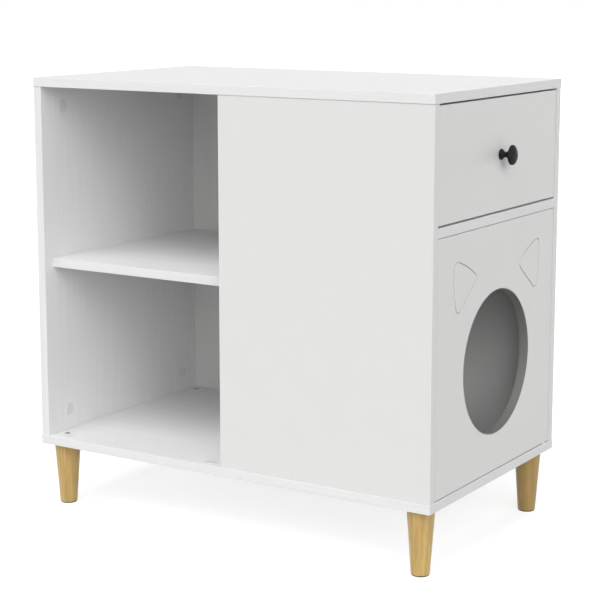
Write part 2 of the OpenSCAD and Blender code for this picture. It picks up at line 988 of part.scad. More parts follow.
// Screws from inside the drawer into its front
module at_front_screws() {
    for (side = [-1, 1], share = box_screw_shares)
        translate([
            drawer_inner_front_x,
            side * (drawer_inner_y - front_screw_in),
            drawer_box_z + share * drawer_box_h
        ])
            rotate([0, -90, 0])
                children();
}

module drawer_front_screws() {
    color(ZINC)
        at_front_screws()
            cone_screw(front_screw_l);
}

// Turns a shape drawn up along Z so that it stands out from the drawer front
module on_drawer_front() {
    translate([front_x, 0, knob_z])
        rotate([0, 90, 0])
            children();
}

// How far up the back of the knob's head is at a turn of its outline: part round, part a cone
function flare(turn) = (1 - knob_cone_share) * sin(turn) + knob_cone_share * (1 - cos(turn));

module knob() {
    base_r = knob_base_d / 2;
    neck_r = knob_neck_d / 2;
    head_r = knob_head_d / 2;
    foot_h = knob_waist_h - knob_base_h;
    bowl_h = knob_rim_low_h - knob_waist_h;
    crown_h = knob_reach - knob_rim_h;
    turns = [for (i = [1 : knob_steps]) 90 * i / knob_steps];
    outline = [
        [0, 0],
        [base_r, 0],
        [base_r, knob_base_h],
        for (turn = turns)
            [base_r - (base_r - neck_r) * sin(turn), knob_base_h + foot_h * turn / 90],
        for (turn = turns)
            [neck_r + (head_r - neck_r) * (1 - cos(turn)), knob_waist_h + bowl_h * flare(turn)],
        [head_r, knob_rim_h],
        for (turn = turns)
            [head_r * cos(turn), knob_rim_h + crown_h * sin(turn)]
    ];
    color(BLACK_KNOB)
        on_drawer_front()
            difference() {
                rotate_extrude()
                    polygon(outline);
                translate([0, 0, -over])
                    cylinder(d = knob_screw_d + 2 * fit, h = knob_screw_in + bore_end + over);
            }
}

module knob_screw() {
    color(ZINC)
        on_drawer_front()
            translate([0, 0, -board - drawer_board]) {
                cylinder(d = knob_screw_d, h = board + drawer_board + knob_screw_in);
                translate([0, 0, -pan_head_h])
                    cylinder(d = screw_head_d, h = pan_head_h);
            }
}

module knob_screw_cut() {
    on_drawer_front()
        translate([0, 0, -board - drawer_board - over])
            cylinder(d = knob_screw_d + 2 * fit, h = board + drawer_board + 2 * over);
}

// Puts a slide's cross-section in place: its own X away from the panel, its own Y up.
// The length starts at the back end of the member.
module slide_member(side, start_x) {
    translate([start_x, side * inner_far_y, slide_z])
        mirror([0, side > 0 ? 1 : 0, 0])
            facing_right()
                linear_extrude(slide_l)
                    children();
}

// A channel between two distances from the panel, open towards the drawer for 1 or the panel for -1
module channel(from, to, half_h, way) {
    difference() {
        translate([from, -half_h])
            square([to - from, 2 * half_h]);
        translate([way > 0 ? from + slide_sheet : from - over, slide_sheet - half_h])
            square([to - from - slide_sheet + over, 2 * (half_h - slide_sheet)]);
    }
}

module slide_outer(side) {
    color(ZINC)
        difference() {
            slide_member(side, drawer_box_x)
                channel(0, slide_outer_w, slide_h / 2, 1);
            slide_screw_cuts(side, true);
        }
}

module slide_middle(side) {
    color(STEEL)
        slide_member(side, drawer_box_x)
            channel(slide_middle_in, slide_middle_in + slide_middle_w, slide_h / 2 - slide_step, 1);
}

module slide_inner(side) {
    color(ZINC)
        difference() {
            slide_member(side, drawer_box_x + slide_set)
                channel(slide_w - slide_inner_w, slide_w, slide_h / 2 - 2 * slide_step, -1);
            slide_screw_cuts(side, false);
        }
}

module slide_outer_near() {
    slide_outer(-1);
}

module slide_outer_far() {
    slide_outer(1);
}

module slide_middle_near() {
    slide_middle(-1);
}

module slide_middle_far() {
    slide_middle(1);
}

module slide_inner_near() {
    slide_inner(-1);
}

module slide_inner_far() {
    slide_inner(1);
}

// Places of a slide's screws on its sheet, with -Z into the panel or into the drawer's side
module at_slide_screws(side, in_case) {
    depth = in_case ? slide_sheet : slide_w - slide_sheet;
    for (share = slide_screw_shares)
        translate([drawer_box_x + share * slide_l, side * (inner_far_y - depth), slide_z])
            rotate([side * (in_case ? 90 : -90), 0, 0])
                children();
}

module slide_screw_cuts(side, in_case) {
    at_slide_screws(side, in_case)
        pan_screw_cut(short_screw_l);
}

module slide_screws_case() {
    color(ZINC)
        for (side = [-1, 1])
            at_slide_screws(side, true)
                pan_screw(short_screw_l);
}

module slide_screws_drawer() {
    color(ZINC)
        for (side = [-1, 1])
            at_slide_screws(side, false)
                pan_screw(short_screw_l);
}

top_board();
bottom_board();
left_end_panel();
partition_panel();
near_side_panel();
far_side_panel();
shelf_back_panel();
shelf();
divider_board();
leg_near_left();
leg_near_right();
leg_far_left();
leg_far_right();
foot_pads();
leg_bolts();
leg_inserts();
cam_locks();
cam_bolts();
dowels();
cam_covers();
board_plugs();
cat_door();
way_in_band();
door_pin_top();
door_pin_bottom();
door_bush_top();
door_bush_bottom();
catch_body();
catch_magnet();
catch_screws();
catch_striker();
striker_screw();
drawer_front();
drawer_inner_front();
drawer_side_near();
drawer_side_far();
drawer_back();
drawer_bottom();
drawer_box_screws();
drawer_front_screws();
knob();
knob_screw();
slide_outer_near();
slide_outer_far();
slide_middle_near();
slide_middle_far();
slide_inner_near();
slide_inner_far();
slide_screws_case();
slide_screws_drawer();
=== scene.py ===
"""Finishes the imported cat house: faced boards, turned legs, knob, drawer box, slides and fixings.

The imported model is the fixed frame. Each operator finishes one group of its pieces, in metres.
"""

import math

import bmesh
import bpy
from bpy.props import FloatProperty, FloatVectorProperty, PointerProperty
from mathutils import Matrix, Vector
from mathutils.geometry import tessellate_polygon


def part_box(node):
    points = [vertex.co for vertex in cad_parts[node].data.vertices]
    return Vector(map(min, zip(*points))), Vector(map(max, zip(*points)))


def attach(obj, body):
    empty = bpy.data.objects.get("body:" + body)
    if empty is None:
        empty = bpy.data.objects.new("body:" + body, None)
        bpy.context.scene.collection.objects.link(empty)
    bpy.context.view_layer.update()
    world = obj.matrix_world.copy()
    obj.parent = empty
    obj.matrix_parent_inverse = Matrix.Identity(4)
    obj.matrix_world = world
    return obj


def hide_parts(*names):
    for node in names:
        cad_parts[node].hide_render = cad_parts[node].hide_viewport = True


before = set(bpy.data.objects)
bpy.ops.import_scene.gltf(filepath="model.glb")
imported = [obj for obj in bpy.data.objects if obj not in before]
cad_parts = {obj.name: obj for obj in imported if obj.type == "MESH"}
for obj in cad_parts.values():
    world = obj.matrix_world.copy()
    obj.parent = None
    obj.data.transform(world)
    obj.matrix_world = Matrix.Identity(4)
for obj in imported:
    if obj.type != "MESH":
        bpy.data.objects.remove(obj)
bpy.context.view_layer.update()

bl_info = {
    "name": "Cat house",
    "version": (1, 0, 0),
    "blender": (4, 5, 0),
    "location": "3D View > Sidebar > Cat house",
    "description": "Finishes the boards, legs, drawer, door and fixings of the cat house",
    "category": "Object",
}

MM = 0.001

# Edges, in metres and radians: what counts as one corner, as flat, as an edge to round and as an
# edge to keep sharp, and the widths of the small roundings
SAME_CORNER = 0.01 * MM
FLAT_WITHIN = math.radians(0.5)
ROUND_FROM = 0.6
ROUND_STEPS = 2
SHARP_FROM = math.radians(32)
THIN_EDGE = 0.3 * MM
BAND_EDGE = 0.2 * MM
CATCH_EDGE = 0.5 * MM

# Faces round a screw, a pad, and the knob or a leg
SCREW_FACES, PAD_FACES, TURNED_FACES = 32, 64, 96

# Screws: lengths of their points, and the turn from one screw's recess to the next
SHORT_POINT = 2.4 * MM
LONG_POINT = 4 * MM
BLUNT_POINT = 0.6 * MM
SCREW_TURN = 0.7
# Flat head: a cone that ends in a low rim, with its top eased
FLAT_NECK_ROUND = 0.3 * MM
FLAT_RIM_H = 0.12 * MM
FLAT_RIM_ROUND = 0.1 * MM
FLAT_TOP_EASE = 0.15 * MM
# Pan head: its height, and for each corner below its flat top how far in it lies, how far down as
# a share of the height, and its rounding
PAN_H = 1.2 * MM
PAN_CORNERS = ((0.1 * MM, 1.0, 0), (0.0, 0.7, 0.3 * MM), (0.35 * MM, 0.25, 0.5 * MM))
PAN_TOP_SHARE = 0.72
# Cross recess: reach of its arms as a share of the head, its depth, and how far its floor draws in
FLAT_ARM_SHARE = 0.55
PAN_ARM_SHARE = 0.5
RECESS_DEPTH = 1.1 * MM
RECESS_FLOOR_SHARE = 0.6

# Holes in the web of a slide's member: share of its length, length and width of the hole
SLIDE_HOLES = (
    (0.31, 20 * MM, 5 * MM), (0.69, 20 * MM, 5 * MM),
    (0.19, 5 * MM, 5 * MM), (0.81, 5 * MM, 5 * MM),
)
SLIDE_SCREW_HOLES = tuple((share, 3.8 * MM, 3.8 * MM) for share in (0.12, 0.5, 0.88))
SLIDE_LIP_ROUND = 0.4 * MM

# Knob: tops of base, waist, cone and rim as shares of its reach, and how straight its cone is
KNOB_SHARES = (0.07, 0.33, 0.73, 0.79)
KNOB_CONE_SHARE = 0.5
KNOB_BASE_ROUND = 0.4 * MM
KNOB_STEPS = 14

# Legs: the painted shade that darkens the wood of each, more for a leg that gets less light under
# the case, and the rounding at its top
LEG_PAINTED_SHADES = (
    ("leg_near_left", 0.15), ("leg_near_right", 0.0),
    ("leg_far_left", 0.2), ("leg_far_right", 0.7),
)
LEG_TOP_ROUND = 1 * MM

# Felt pads: how far the rim bulges, and the roundings of its low, middle and high corner
PAD_BULGE = 0.3 * MM
PAD_ROUNDS = (0.5 * MM, 0.8 * MM, 0.4 * MM)

# Stage: a floor just under the pads, and how white the floor and the world are seen
WHITE = (1, 1, 1, 1)
FLOOR_CELLS = 8
FLOOR_HALF = 30.0
FLOOR_DROP = 0.05 * MM
FLOOR_LIFT = 0.72
WORLD_LIGHT = 0.15
# Name, strength, spread in degrees and direction of each lamp: a key from the upper front,
# three fills, and one each for the back and the left end
LAMPS = (
    ("key_lamp", 1.6, 40, (0.0, -0.54, 0.84)),
    ("front_fill_lamp", 1.1, 40, (0.6, -0.75, 0.42)),
    ("left_fill_lamp", 0.65, 40, (-0.65, -0.65, 0.4)),
    ("side_fill_lamp", 0.85, 50, (0.9, -0.25, 0.45)),
    ("back_fill_lamp", 2.3, 20, (-0.05, 1.0, 0.08)),
    ("end_fill_lamp", 1.2, 20, (-1.0, 0.05, 0.05)),
)
# Camera of the photograph, from the corners of the case: metres, radians and millimetres
CAMERA_PLACE = (1.60019, -2.53558, 0.95446)
CAMERA_DOWN = 0.16943
CAMERA_LEFT = 0.5656
CAMERA_LENS = 103.2668
CAMERA_SENSOR = 36.0
CAMERA_SHIFT = -0.05


def linear(hex_colour):
    """An sRGB hex colour as linear red, green, blue and alpha."""
    shares = [int(hex_colour[i:i + 2], 16) / 255 for i in (1, 3, 5)]
    return (*[s / 12.92 if s <= 0.04045 else ((s + 0.055) / 1.055) ** 2.4 for s in shares], 1.0)


def size(name, description, default, low, high):
    """A length that a user may change, given in millimetres."""
    return FloatProperty(
        name=name, description=description, default=default * MM, min=low * MM, max=high * MM,
        unit="LENGTH", subtype="DISTANCE", precision=4,
    )


def colour(name, description, hex_colour):
    """A colour that a user may change."""
    return FloatVectorProperty(
        name=name, description=description, default=linear(hex_colour), size=4,
        min=0.0, max=1.0, subtype="COLOR",
    )


class CatHouseSizes(bpy.types.PropertyGroup):
    """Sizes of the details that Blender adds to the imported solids."""

    board_edge: size("Board edge", "Rounding of the edges of the boards", 0.6, 0.2, 1.5)
    front_edge: size("Front edge", "Rounding of drawer front and cat door", 0.45, 0.2, 1.5)
    metal_edge: size("Metal edge", "Rounding of cams, bolts and plates", 0.25, 0.1, 0.5)
    plastic_edge: size("Plastic edge", "Rounding of moulded pieces", 0.3, 0.1, 0.5)
    leg_foot_d: size("Leg foot", "Diameter of a leg at its foot", 31, 26, 36)
    leg_foot_round: size("Leg foot rounding", "Rounding of the foot of a leg", 0.5, 0.5, 5)
    leg_bore_d: size("Leg bore", "Diameter of the bore for a leg's bolt", 8.1, 6, 9)
    leg_bore_l: size("Leg bore depth", "Depth of the bore for a leg's bolt", 30.5, 20, 50)
    knob_base_d: size("Knob base", "Diameter of the base of the knob", 18, 15, 22)
    knob_neck_d: size("Knob neck", "Diameter of the neck of the knob", 8.5, 7, 11)
    slide_sheet: size("Slide sheet", "Thickness of the steel of a slide", 1.2, 1, 1.4)
    slide_bend: size("Slide bend", "Inner radius of the bends of a slide", 0.9, 0.4, 2)
    recess_w: size("Screw recess", "Width of the arms of a cross recess", 0.9, 0.6, 1.2)


class CatHouseColours(bpy.types.PropertyGroup):
    """Colours of the finishes, before light."""

    board: colour("Board", "White faced board", "#e6e6e6")
    board_streak: colour("Board streak", "Faint streaks in the white faced board", "#dddddc")
    front: colour("Front", "Plain white of side panels, drawer front and cat door", "#dededd")
    front_cloud: colour("Front, clouds", "Slight unevenness of the plain white", "#dadad8")
    thin_panel: colour("Thin panel", "White face of the thin panels", "#dcdcdb")
    wood: colour("Leg wood", "Light part of the legs' grain", "#d2b16c")
    # Also laid over each whole leg as that leg's painted shade
    wood_dark: colour("Leg wood, dark", "Dark part of the legs' grain", "#967b41")
    wood_red: colour("Leg wood, streaks", "Thin reddish streaks in the legs' grain", "#c1905b")
    beech: colour("Dowel wood", "Plain beech of the dowels", "#d8b98c")
    felt: colour("Felt", "Dark felt of the foot pads", "#242425")
    felt_fibre: colour("Felt fibres", "Lighter fibres in the felt", "#38383a")
    knob: colour("Knob", "Matt black of the knob", "#101011")
    band: colour("Way in band", "Dark grey band round the way in", "#868684")
    plastic: colour("White plastic", "Moulded caps, plugs and catch", "#dadada")
    zinc: colour("Bright zinc", "Zinc plating of screws, cams and bolts", "#c3c6ca")
    steel: colour("Rolled steel", "Zinc plated strip of the slides and plates", "#b9bdc2")
    magnet: colour("Magnet", "Ground face of the magnet", "#3a3a3d")
    floor: colour("Floor", "Plain grey floor", "#a9a9a9")


def sizes():
    """The sizes in use."""
    return bpy.context.scene.cat_house_sizes


def colours():
    """The colours in use."""
    return bpy.context.scene.cat_house_colours


# Materials

def add(tree, kind, inputs=None, **settings):
    """Adds one node with its settings and links. An input is a value or a socket that feeds it."""
    made = tree.nodes.new(kind)
    for name, value in settings.items():
        setattr(made, name, value)
    for name, value in (inputs or {}).items():
        if isinstance(value, bpy.types.NodeSocket):
            tree.links.new(value, made.inputs[name])
        else:
            made.inputs[name].default_value = value
    return made


def start_finish(name, base, roughness, **sockets):
    """A material with one shader, set on its own sockets, and the place on the object in metres."""
    material = bpy.data.materials.get(name) or bpy.data.materials.new(name)
    material.use_nodes = True
    tree = material.node_tree
    tree.nodes.clear()
    shader = add(tree, "ShaderNodeBsdfPrincipled", {
        "Base Color": base, "Roughness": roughness,
        **{socket.replace("_", " "): value for socket, value in sockets.items()},
    })
    add(tree, "ShaderNodeOutputMaterial", {"Surface": shader.outputs[0]})
    place = add(tree, "ShaderNodeTexCoord").outputs["Object"]
    return material, tree, shader, place


def cloudy(tree, place, spacing, low, high, most=1.0, detail=2.0):
    """Clouds from 0 to most that are spacing apart, one length or one for each axis.

    Of the noise, only what lies between low and high is drawn out.
    """
    lengths = spacing if isinstance(spacing, tuple) else (spacing,) * 3
    scaled = add(tree, "ShaderNodeMapping", {
        "Vector": place, "Scale": tuple(1 / length for length in lengths)})
    noise = add(tree, "ShaderNodeTexNoise", {
        "Vector": scaled.outputs[0], "Scale": 1.0, "Detail": detail, "Roughness": 0.55})
    return add(tree, "ShaderNodeMapRange", {
        "Value": noise.outputs[0], "From Min": low, "From Max": high, "To Max": most,
    }).outputs[0]


def tint(tree, shader, share, over):
    """Lays a colour over the shader's own, or over the layers it has by now, where share says."""
    base = shader.inputs["Base Color"]
    under = base.links[0].from_socket if base.links else tuple(base.default_value)
    layers = add(tree, "ShaderNodeMix", {0: share, 6: under, 7: over}, data_type="RGBA")
    tree.links.new(layers.outputs[2], base)


def seen_rays(tree):
    """1 for rays from the camera, off gloss and through clear pieces, and 0 for what lights."""
    path = add(tree, "ShaderNodeLightPath")
    seen = path.outputs["Is Camera Ray"]
    for kind in ("Is Glossy Ray", "Is Transmission Ray"):
        either = add(tree, "ShaderNodeMath", {0: seen, 1: path.outputs[kind]}, operation="MAXIMUM")
        seen = either.outputs[0]
    return seen


def grain(tree, shader, place, spacing, depth, roughness, detail=3.0):
    """Raises the surface by up to depth in clouds spacing apart, and moves its roughness."""
    height = cloudy(tree, place, spacing, 0.3, 0.7, detail=detail)
    rough = add(tree, "ShaderNodeMapRange", {
        "Value": height, "To Min": roughness[0], "To Max": roughness[1]})
    tree.links.new(rough.outputs[0], shader.inputs["Roughness"])
    bump = add(tree, "ShaderNodeBump", {"Height": height, "Strength": 1.0, "Distance": depth})
    tree.links.new(bump.outputs[0], shader.inputs["Normal"])


def melamine_board(along):
    """White melamine faced board, pressed on a wood grain plate: faint streaks and a low sheen."""
    material, tree, shader, place = start_finish(
        f"melamine_faced_board_{along}", colours().board, 0.6, Specular_IOR_Level=0.3)
    bands = tuple(260 * MM if axis == along else 9 * MM for axis in "xyz")
    streaks = tuple(150 * MM if axis == along else 2.4 * MM for axis in "xyz")
    # The plate's pores are about 0.3 mm wide: they are drawn wider so that they show
    pores = tuple(9 * MM if axis == along else 0.9 * MM for axis in "xyz")
    tint(tree, shader, cloudy(tree, place, bands, 0.4, 0.7, 0.3), colours().board_streak)
    tint(tree, shader, cloudy(tree, place, streaks, 0.5, 0.72, 0.4, 4.0), colours().board_streak)
    grain(tree, shader, place, pores, 0.04 * MM, (0.55, 0.65))
    return material


def foil_front():
    """Plain white foil faced board, pressed flat: even, with a very fine peel in its gloss."""
    material, tree, shader, place = start_finish("white_foil_front", colours().front, 0.42)
    tint(tree, shader, cloudy(tree, place, 60 * MM, 0.3, 0.7, 0.25), colours().front_cloud)
    # Peel in pressed foil is 1 to 2 mm across
    grain(tree, shader, place, 1.4 * MM, 0.02 * MM, (0.39, 0.46))
    return material


def lacquered_hardboard():
    """White lacquered hardboard, rolled: matt, with the light pebble of its paint roller."""
    material, tree, shader, place = start_finish("lacquered_hardboard", colours().thin_panel, 0.6)
    # A short paint roller leaves a pebble of about 2 mm
    pebble = 2.2 * MM
    tint(tree, shader, cloudy(tree, place, pebble, 0.4, 0.8, 0.3, 3.0), colours().board_streak)
    grain(tree, shader, place, pebble, 0.06 * MM, (0.55, 0.68))
    return material


def lacquered_wood(piece, painted_shade):
    """Golden solid wood, turned and clear lacquered: bands and reddish streaks under a soft coat.

    Each leg gets its own share of the dark grain all over: a painted shade, darker for a leg that
    gets less light under the case.
    """
    material, tree, shader, place = start_finish(
        f"lacquered_wood_{piece}", colours().wood, 0.42, Coat_Weight=0.2, Coat_Roughness=0.3)
    # Painted shade: the dark grain laid over the whole leg darkens it for the light it misses under
    # the case
    tint(tree, shader, painted_shade, colours().wood_dark)
    bands = (8 * MM, 8 * MM, 300 * MM)
    streaks = (3 * MM, 3 * MM, 140 * MM)
    # The real fibres are about 0.3 mm wide: they are drawn wider so that they show
    fibres = (0.9 * MM, 0.9 * MM, 26 * MM)
    tint(tree, shader, cloudy(tree, place, bands, 0.4, 0.62, 0.5), colours().wood_dark)
    tint(tree, shader, cloudy(tree, place, streaks, 0.52, 0.66, 0.5), colours().wood_red)
    tint(tree, shader, cloudy(tree, place, fibres, 0.5, 0.72, 0.35, 3.0), colours().wood_dark)
    grain(tree, shader, place, fibres, 0.05 * MM, (0.38, 0.48))
    return material


def bare_beech():
    """Beech, turned and left bare: fine short flecks."""
    material, tree, shader, place = start_finish("bare_beech", colours().beech, 0.65)
    # Beech has flecks of 0.5 to 1 mm
    flecks = 0.7 * MM
    tint(tree, shader, cloudy(tree, place, flecks, 0.5, 0.75, 0.6, 3.0), colours().wood_dark)
    grain(tree, shader, place, flecks, 0.06 * MM, (0.6, 0.72))
    return material


def pressed_felt():
    """Pressed wool felt: no gloss, and loose fibres that catch light at the rim."""
    material, tree, shader, place = start_finish(
        "pressed_felt", colours().felt, 0.95, Sheen_Weight=0.15, Sheen_Roughness=0.5)
    # A single fibre is too fine to show: this is the size of a tuft
    tuft = 0.5 * MM
    tint(tree, shader, cloudy(tree, place, tuft, 0.35, 0.7, detail=5.0), colours().felt_fibre)
    grain(tree, shader, place, tuft, 0.2 * MM, (0.9, 1.0), 5.0)
    return material


def matt_black_paint():
    """Matt black paint on cast metal, sprayed: a fine dry grain that spreads the highlight."""
    material, tree, shader, place = start_finish(
        "matt_black_paint", colours().knob, 0.6, Specular_IOR_Level=0.2)
    # Sprayed paint dries in grains of about 0.2 mm: they are drawn coarser so that they show
    grain(tree, shader, place, 0.4 * MM, 0.02 * MM, (0.56, 0.66))
    return material


def abs_edge_band():
    """Dark grey ABS band, extruded: matt, with fine lines along it."""
    material, tree, shader, place = start_finish("abs_edge_band", colours().band, 0.55)
    # The die leaves lines of about 0.2 mm: they are drawn wider so that they show
    grain(tree, shader, place, (0.6 * MM, 12 * MM, 12 * MM), 0.02 * MM, (0.5, 0.62))
    return material


def moulded_white_abs():
    """White ABS, moulded: a fine spark grain, and a little more gloss than the boards."""
    material, tree, shader, place = start_finish("moulded_white_abs", colours().plastic, 0.38)
    # Spark grain is about 0.1 mm: it is drawn coarser so that it shows
    grain(tree, shader, place, 0.5 * MM, 0.015 * MM, (0.34, 0.42), 2.0)
    return material


def bright_zinc_plate():
    """Steel with bright zinc plating: a soft metal gloss that clouds a little."""
    material, tree, shader, place = start_finish(
        "bright_zinc_plate", colours().zinc, 0.3, Metallic=1.0)
    tint(tree, shader, cloudy(tree, place, 3 * MM, 0.35, 0.7, 0.5), colours().steel)
    # Plating grows in grains far under 0.1 mm: they are drawn coarser so that they show
    grain(tree, shader, place, 0.8 * MM, 0.01 * MM, (0.24, 0.38))
    return material


def rolled_zinc_steel():
    """Zinc plated steel strip, cold rolled: fine lines along its length and a broad sheen."""
    material, tree, shader, place = start_finish(
        "rolled_zinc_steel", colours().steel, 0.36, Metallic=1.0)
    clouds = (40 * MM, 4 * MM, 4 * MM)
    # Rolling lines are about 0.1 mm wide: they are drawn wider so that they show
    lines = (60 * MM, 0.5 * MM, 0.5 * MM)
    tint(tree, shader, cloudy(tree, place, clouds, 0.35, 0.7, 0.5), colours().zinc)
    grain(tree, shader, place, lines, 0.012 * MM, (0.28, 0.44))
    return material


def ground_ferrite():
    """Ferrite magnet, ground: dark grey with fine straight grinding lines."""
    material, tree, shader, place = start_finish("ground_ferrite", colours().magnet, 0.5)
    # Grinding lines are about 0.1 mm wide: they are drawn wider so that they show
    grain(tree, shader, place, (0.5 * MM, 0.5 * MM, 8 * MM), 0.02 * MM, (0.42, 0.58), 2.0)
    return material


# Shapes

def dress(nodes, material, edge):
    """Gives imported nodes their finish, and rounds their edges without changing their meshes."""
    for name in nodes:
        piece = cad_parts[name]
        for slot in piece.material_slots:
            slot.material = material
        piece.modifiers.new("joined_corners", "WELD").merge_threshold = SAME_CORNER
        joined = piece.modifiers.new("joined_faces", "DECIMATE")
        joined.decimate_type = "DISSOLVE"
        joined.angle_limit = FLAT_WITHIN
        rounding = piece.modifiers.new("rounded_edges", "BEVEL")
        rounding.width = edge
        rounding.segments = ROUND_STEPS
        rounding.limit_method = "ANGLE"
        rounding.angle_limit = ROUND_FROM
        rounding.use_clamp_overlap = False
        rounding.loop_slide = False
        piece.modifiers.new("even_faces", "WEIGHTED_NORMAL").keep_sharp = False


def make_piece(name, mesh_data, material, body, nodes):
    """Makes an object from finished faces, smooth but for its edges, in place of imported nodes."""
    bmesh.ops.recalc_face_normals(mesh_data, faces=mesh_data.faces)
    mesh = bpy.data.meshes.new(name)
    mesh_data.to_mesh(mesh)
    mesh_data.free()
    mesh.shade_smooth()
    mesh.set_sharp_from_angle(angle=SHARP_FROM)
    mesh.materials.append(material)
    piece = bpy.data.objects.new(name, mesh)
    bpy.context.scene.collection.objects.link(piece)
    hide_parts(*nodes)
    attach(piece, body)


def rounded(outline, closed=False, steps=4):
    """The outline as flat points. Each corner is (across, up, rounding)."""
    count = len(outline)
    points = []
    for i, (across, up, radius) in enumerate(outline):
        corner = Vector((across, up))
        if radius == 0 or (not closed and i in (0, count - 1)):
            points.append(corner)
            continue
        before = Vector(outline[i - 1][:2]) - corner
        after = Vector(outline[(i + 1) % count][:2]) - corner
        reach = min(radius, before.length / 2, after.length / 2)
        start, end = corner + reach * before.normalized(), corner + reach * after.normalized()
        for step in range(steps + 1):
            t = step / steps
            points.append((1 - t) ** 2 * start + 2 * t * (1 - t) * corner + t * t * end)
    return points


def flat_turn(radius, share, height):
    """The point at a share of a full turn about Z."""
    angle = 2 * math.pi * share
    return Vector((radius * math.cos(angle), radius * math.sin(angle), height))


def turn_shape(mesh_data, outline, place, around):
    """Turns an outline of (radius, height) points about Z. Returns its last ring of corners."""
    rings = []
    for radius, height in outline:
        count = around if radius > 0 else 1
        ring = [flat_turn(radius, i / around, height) for i in range(count)]
        rings.append([mesh_data.verts.new(place @ corner) for corner in ring])
    for low, high in zip(rings, rings[1:]):
        for i in range(around):
            j = (i + 1) % around
            # A ring on the axis is one corner, which the face holds once
            face = ((low, i), (low, j), (high, j), (high, i))
            mesh_data.faces.new(dict.fromkeys(ring[k % len(ring)] for ring, k in face))
    return rings[-1]


def close_with_cross(mesh_data, ring, radius, place, arm):
    """Closes a ring at the origin of place with a flat face that has a cross recess in it."""
    h = sizes().recess_w / 2
    cross = [(h, h), (h, arm), (-h, arm), (-h, h), (-arm, h), (-arm, -h),
             (-h, -h), (-h, -arm), (h, -arm), (h, -h), (arm, -h), (arm, h)]
    rim = [flat_turn(radius, i / len(ring), 0) for i in range(len(ring))]
    hole = [Vector((x, y, 0)) for x, y in cross]
    mouth = [mesh_data.verts.new(place @ corner) for corner in hole]
    low = [(RECESS_FLOOR_SHARE * x, RECESS_FLOOR_SHARE * y) for x, y in cross]
    floor = [mesh_data.verts.new(place @ Vector((x, y, -RECESS_DEPTH))) for x, y in low]
    corners = ring + mouth
    for triangle in tessellate_polygon([rim, hole]):
        mesh_data.faces.new([corners[i] for i in triangle])
    for i in range(len(cross)):
        j = (i + 1) % len(cross)
        mesh_data.faces.new([mouth[i], mouth[j], floor[j], floor[i]])
    mesh_data.faces.new(floor)


def solids(node):
    """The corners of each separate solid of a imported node."""
    mesh_data = bmesh.new()
    mesh_data.from_mesh(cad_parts[node].data)
    bmesh.ops.remove_doubles(mesh_data, verts=mesh_data.verts, dist=SAME_CORNER)
    found, seen = [], set()
    for first in mesh_data.verts:
        if first in seen:
            continue
        seen.add(first)
        waiting, group = [first], []
        while waiting:
            corner = waiting.pop()
            group.append(corner.co.copy())
            for edge in corner.link_edges:
                other = edge.other_vert(corner)
                if other not in seen:
                    seen.add(other)
                    waiting.append(other)
        found.append(group)
    mesh_data.free()
    return found


def fixing(corners):
    """Place with Z out of the head, length, and head and shank radius of one screw's corners."""
    low = Vector([min(c[i] for c in corners) for i in range(3)])
    high = Vector([max(c[i] for c in corners) for i in range(3)])
    axis = max(range(3), key=lambda i: high[i] - low[i])
    middle = (low + high) / 2

    def radius(corner):
        return math.hypot(*(corner[i] - middle[i] for i in range(3) if i != axis))

    way = 1 if max(corners, key=radius)[axis] > middle[axis] else -1
    out = Vector([way if i == axis else 0 for i in range(3)])
    head = middle.copy()
    head[axis] = high[axis] if way > 0 else low[axis]
    foot = low[axis] if way > 0 else high[axis]
    shank = max(radius(c) for c in corners if abs(c[axis] - foot) < SAME_CORNER)
    turn = out.to_track_quat("Z", "Y").to_matrix().to_4x4()
    return Matrix.Translation(head) @ turn, high[axis] - low[axis], max(map(radius, corners)), shank


def make_screws(node, body, flat_head, point):
    """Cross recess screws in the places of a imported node's screws."""
    mesh_data = bmesh.new()
    for number, corners in enumerate(solids(node)):
        place, length, head, shank = fixing(corners)
        place = place @ Matrix.Rotation(SCREW_TURN * number, 4, "Z")
        outline = [(0, -length, 0)]
        if point < shank:
            outline.append((shank - point, -length, 0))
        outline.append((shank, -length + point, 0))
        if flat_head:
            top, arm = head - FLAT_TOP_EASE, FLAT_ARM_SHARE * head
            outline.append((shank, shank - head, FLAT_NECK_ROUND))
            outline.append((head, -FLAT_RIM_H, FLAT_RIM_ROUND))
        else:
            top, arm = PAN_TOP_SHARE * head, PAN_ARM_SHARE * head
            outline.append((shank, -PAN_H, 0))
            outline += [(head - inset, -share * PAN_H, turn) for inset, share, turn in PAN_CORNERS]
        outline.append((top, 0, 0))
        ring = turn_shape(mesh_data, rounded(outline), place, SCREW_FACES)
        close_with_cross(mesh_data, ring, top, place, arm)
    make_piece(f"{node}_cross_head", mesh_data, bright_zinc_plate(), body, [node])


def round_ended_hole(x, z, length, width, steps=8):
    """The corners of a hole with round ends, length long along X and width across, as (x, z)."""
    turns = [math.pi * (i / steps - 0.5) for i in range(steps + 1)]
    half, reach = width / 2, (length - width) / 2
    right = [(x + reach + half * math.cos(t), z + half * math.sin(t)) for t in turns]
    left = [(x - reach - half * math.cos(t), z - half * math.sin(t)) for t in turns]
    return right + (left if reach > 0 else left[1:-1])


